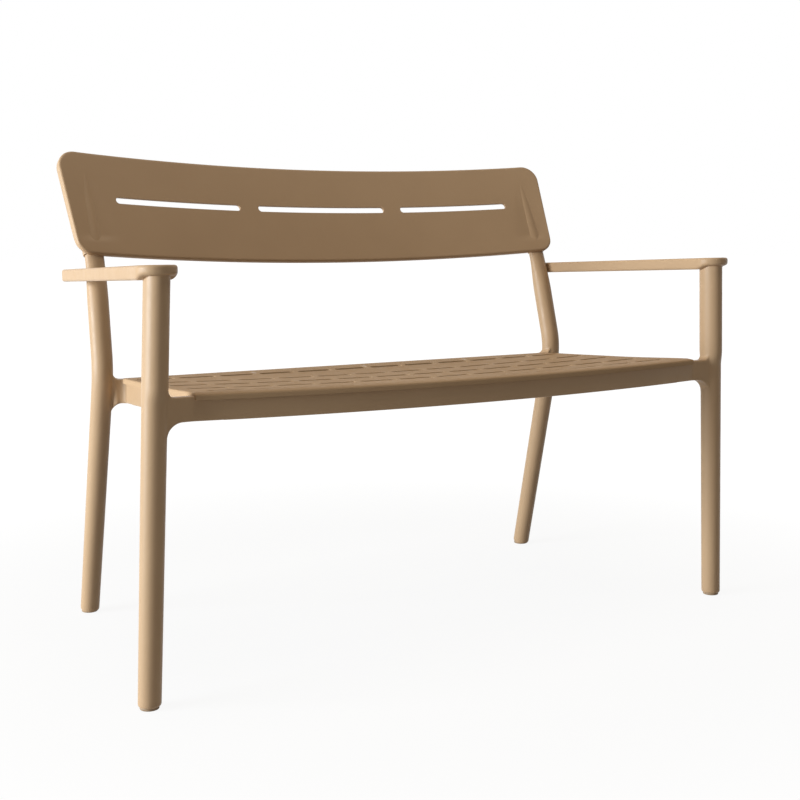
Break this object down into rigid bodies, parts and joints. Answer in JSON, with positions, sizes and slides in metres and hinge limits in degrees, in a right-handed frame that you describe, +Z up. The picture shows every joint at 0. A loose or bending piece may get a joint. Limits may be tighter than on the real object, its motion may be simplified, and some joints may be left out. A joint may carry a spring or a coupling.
{
  "type": "garden bench",
  "caption": "Two-seat garden bench with a dished slotted seat, a curved reclined backrest with long slots, flat arms with round front ends, and raked rear legs.",
  "frame": {"origin": "centre of the bench's bounding box, on the floor", "axes": "+X along the bench to the sitter's left as seen from the front right, +Y from the front to the back, +Z up"},
  "size_m": [1.1774, 0.6421, 0.843],
  "materials": {
    "frame_resin": "sand-brown moulded resin, fine satin grain",
    "seat_resin": "sand-brown moulded resin, fine satin grain",
    "glide": "darker brown moulded plastic, matt",
    "screw_steel": "plain stainless steel",
    "pin_steel": "plain stainless steel"
  },
  "bodies": {
    "root": {"left_front_leg": "frame_resin", "right_front_leg": "frame_resin", "left_rear_leg": "frame_resin", "right_rear_leg": "frame_resin", "front_rail": "frame_resin", "rear_rail": "frame_resin", "left_side_rail": "frame_resin", "right_side_rail": "frame_resin", "left_bearer": "frame_resin", "centre_bearer": "frame_resin", "right_bearer": "frame_resin", "backrest_panel": "frame_resin", "left_armrest": "frame_resin", "right_armrest": "frame_resin", "seat_panel": "seat_resin", "front_left_glide": "glide", "front_right_glide": "glide", "rear_left_glide": "glide", "rear_right_glide": "glide", "rail_screws": "screw_steel", "seat_screws": "screw_steel", "backrest_screws": "screw_steel", "armrest_pins": "pin_steel"}
  },
  "joints": []
}
